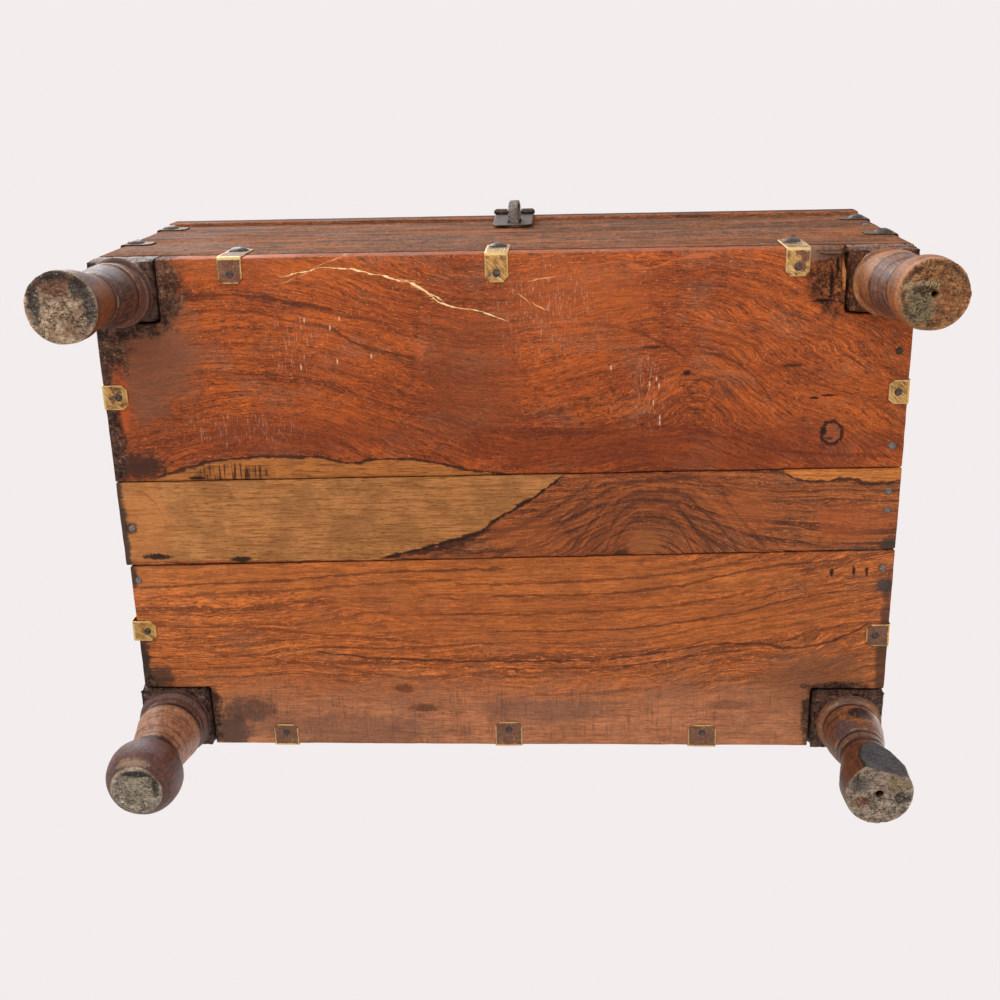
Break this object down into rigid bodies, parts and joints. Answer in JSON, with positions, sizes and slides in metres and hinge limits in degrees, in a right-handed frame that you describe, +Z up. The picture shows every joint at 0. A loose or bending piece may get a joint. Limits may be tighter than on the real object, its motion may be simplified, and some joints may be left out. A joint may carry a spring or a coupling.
{
  "type": "damchiya chest",
  "caption": "Small wooden dowry chest on four turned legs, with a hinged plank lid, brass edge clips and an iron hasp over a staple.",
  "frame": {"origin": "on the floor under the middle of the case", "axes": "+X along the front to the right, +Y from the front to the back, +Z up"},
  "size_m": [0.6186, 0.4412, 0.3444],
  "materials": {
    "board_wood": "oiled, worn, red-orange brown",
    "case_wood": "weathered, dull brown",
    "lid_wood": "worn, brown",
    "leg_wood": "dark, worn, grimy",
    "brass": "tarnished, brown lacquer partly worn off",
    "iron": "dark, hand forged"
  },
  "bodies": {
    "chest": {"front_wall": "case_wood", "back_wall": "case_wood", "left_wall": "case_wood", "right_wall": "case_wood", "bottom_board_front": "board_wood", "bottom_board_middle": "board_wood", "bottom_board_rear": "board_wood", "leg_front_left": "leg_wood", "leg_front_right": "leg_wood", "leg_rear_left": "leg_wood", "leg_rear_right": "leg_wood", "hinge_body_leaf_left": "iron", "hinge_body_leaf_right": "iron", "hinge_pin_left": "iron", "hinge_pin_right": "iron", "staple": "iron", "bottom_clip_dome_nails": "iron", "corner_clip_dome_nails": "iron", "clip_nails": "iron", "board_nails": "iron", "wall_joint_nails": "iron", "hinge_wall_nails": "iron", "front_clip_left": "brass", "front_clip_middle": "brass", "front_clip_right": "brass", "back_clip_left": "brass", "back_clip_middle": "brass", "back_clip_right": "brass", "left_clip_front": "brass", "left_clip_back": "brass", "right_clip_front": "brass", "right_clip_back": "brass", "corner_clip_front_left_lower": "brass", "corner_clip_front_left_upper": "brass", "corner_clip_front_right_lower": "brass", "corner_clip_front_right_upper": "brass", "corner_clip_back_left_lower": "brass", "corner_clip_back_left_upper": "brass", "corner_clip_back_right_lower": "brass", "corner_clip_back_right_upper": "brass"},
    "lid": {"lid_board_front": "lid_wood", "lid_board_rear": "lid_wood", "lid_batten_left": "lid_wood", "lid_batten_right": "lid_wood", "hinge_lid_leaf_left": "iron", "hinge_lid_leaf_right": "iron", "hasp_strap": "iron", "hasp_pin": "iron", "lid_nails": "iron", "hinge_lid_nails": "iron", "hasp_strap_nails": "iron"},
    "hasp": {"hasp_tongue": "iron"}
  },
  "joints": [
    {"name": "lid_hinge", "type": "hinge", "parent": "chest", "child": "lid", "pos_m": [0, 0.2064, 0.3166], "axis": [-1, 0, 0], "range_deg": [0, 115]},
    {"name": "hasp_hinge", "type": "hinge", "parent": "lid", "child": "hasp", "pos_m": [0.0055, -0.2108, 0.319], "axis": [-1, 0, 0], "range_deg": [0, 176]}
  ]
}
